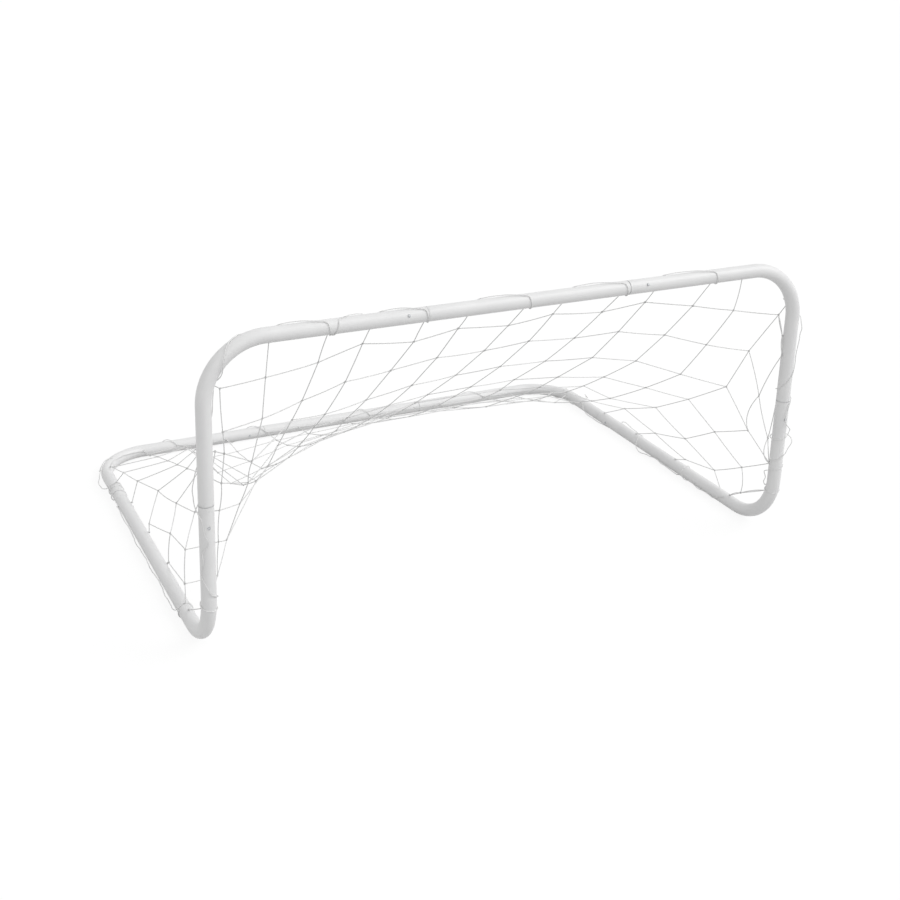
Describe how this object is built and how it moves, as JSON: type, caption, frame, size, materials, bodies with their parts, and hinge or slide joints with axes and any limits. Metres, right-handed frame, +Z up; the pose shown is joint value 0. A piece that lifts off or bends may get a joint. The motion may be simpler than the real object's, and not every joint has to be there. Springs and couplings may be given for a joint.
{
  "type": "mini soccer goal",
  "caption": "Low free-standing soccer goal: bent white steel tubes locked by spring buttons, with a slack square-mesh net.",
  "frame": {"origin": "on the ground, at the middle of the frame's outline", "axes": "+Z up, +Y from the mouth to the rear bar, +X to the right of someone facing the mouth"},
  "size_m": [1.8405, 1.3398, 0.8903],
  "materials": {
    "powder_coat": "smooth white powder coat, satin",
    "zinc": "bright zinc plate",
    "net_cord": "white polyethylene cord"
  },
  "bodies": {
    "frame": {"crossbar_middle": "powder_coat", "top_corner_left": "powder_coat", "top_corner_right": "powder_coat", "bottom_corner_left": "powder_coat", "bottom_corner_right": "powder_coat", "rear_corner_left": "powder_coat", "rear_corner_right": "powder_coat", "rear_bar_middle": "powder_coat", "leaf_spring_upright_left": "zinc", "leaf_spring_upright_right": "zinc", "leaf_spring_crossbar_left": "zinc", "leaf_spring_crossbar_right": "zinc", "leaf_spring_base_left": "zinc", "leaf_spring_base_right": "zinc", "leaf_spring_rear_bar_left": "zinc", "leaf_spring_rear_bar_right": "zinc", "net_back": "net_cord", "net_left": "net_cord", "net_right": "net_cord"},
    "button_upright_left": {"snap_button_upright_left": "zinc"},
    "button_upright_right": {"snap_button_upright_right": "zinc"},
    "button_crossbar_left": {"snap_button_crossbar_left": "zinc"},
    "button_crossbar_right": {"snap_button_crossbar_right": "zinc"},
    "button_base_left": {"snap_button_base_left": "zinc"},
    "button_base_right": {"snap_button_base_right": "zinc"},
    "button_rear_bar_left": {"snap_button_rear_bar_left": "zinc"},
    "button_rear_bar_right": {"snap_button_rear_bar_right": "zinc"}
  },
  "joints": [
    {"name": "press_upright_left", "type": "slide", "parent": "frame", "child": "button_upright_left", "axis": [0, 1, 0], "range_m": [0, 0.0045], "stiffness_N_per_m": 1500, "springref_m": -0.002, "deforming": ["leaf_spring_upright_left"]},
    {"name": "press_upright_right", "type": "slide", "parent": "frame", "child": "button_upright_right", "axis": [0, 1, 0], "range_m": [0, 0.0045], "stiffness_N_per_m": 1500, "springref_m": -0.002, "deforming": ["leaf_spring_upright_right"]},
    {"name": "press_crossbar_left", "type": "slide", "parent": "frame", "child": "button_crossbar_left", "axis": [0, 0.9239, -0.3827], "range_m": [0, 0.0045], "stiffness_N_per_m": 1500, "springref_m": -0.002, "deforming": ["leaf_spring_crossbar_left"]},
    {"name": "press_crossbar_right", "type": "slide", "parent": "frame", "child": "button_crossbar_right", "axis": [0, 0.9239, -0.3827], "range_m": [0, 0.0045], "stiffness_N_per_m": 1500, "springref_m": -0.002, "deforming": ["leaf_spring_crossbar_right"]},
    {"name": "press_base_left", "type": "slide", "parent": "frame", "child": "button_base_left", "axis": [-1, 0, 0], "range_m": [0, 0.0045], "stiffness_N_per_m": 1500, "springref_m": -0.002, "deforming": ["leaf_spring_base_left"]},
    {"name": "press_base_right", "type": "slide", "parent": "frame", "child": "button_base_right", "axis": [1, 0, 0], "range_m": [0, 0.0045], "stiffness_N_per_m": 1500, "springref_m": -0.002, "deforming": ["leaf_spring_base_right"]},
    {"name": "press_rear_bar_left", "type": "slide", "parent": "frame", "child": "button_rear_bar_left", "axis": [0, 1, 0], "range_m": [0, 0.0045], "stiffness_N_per_m": 1500, "springref_m": -0.002, "deforming": ["leaf_spring_rear_bar_left"]},
    {"name": "press_rear_bar_right", "type": "slide", "parent": "frame", "child": "button_rear_bar_right", "axis": [0, 1, 0], "range_m": [0, 0.0045], "stiffness_N_per_m": 1500, "springref_m": -0.002, "deforming": ["leaf_spring_rear_bar_right"]}
  ]
}
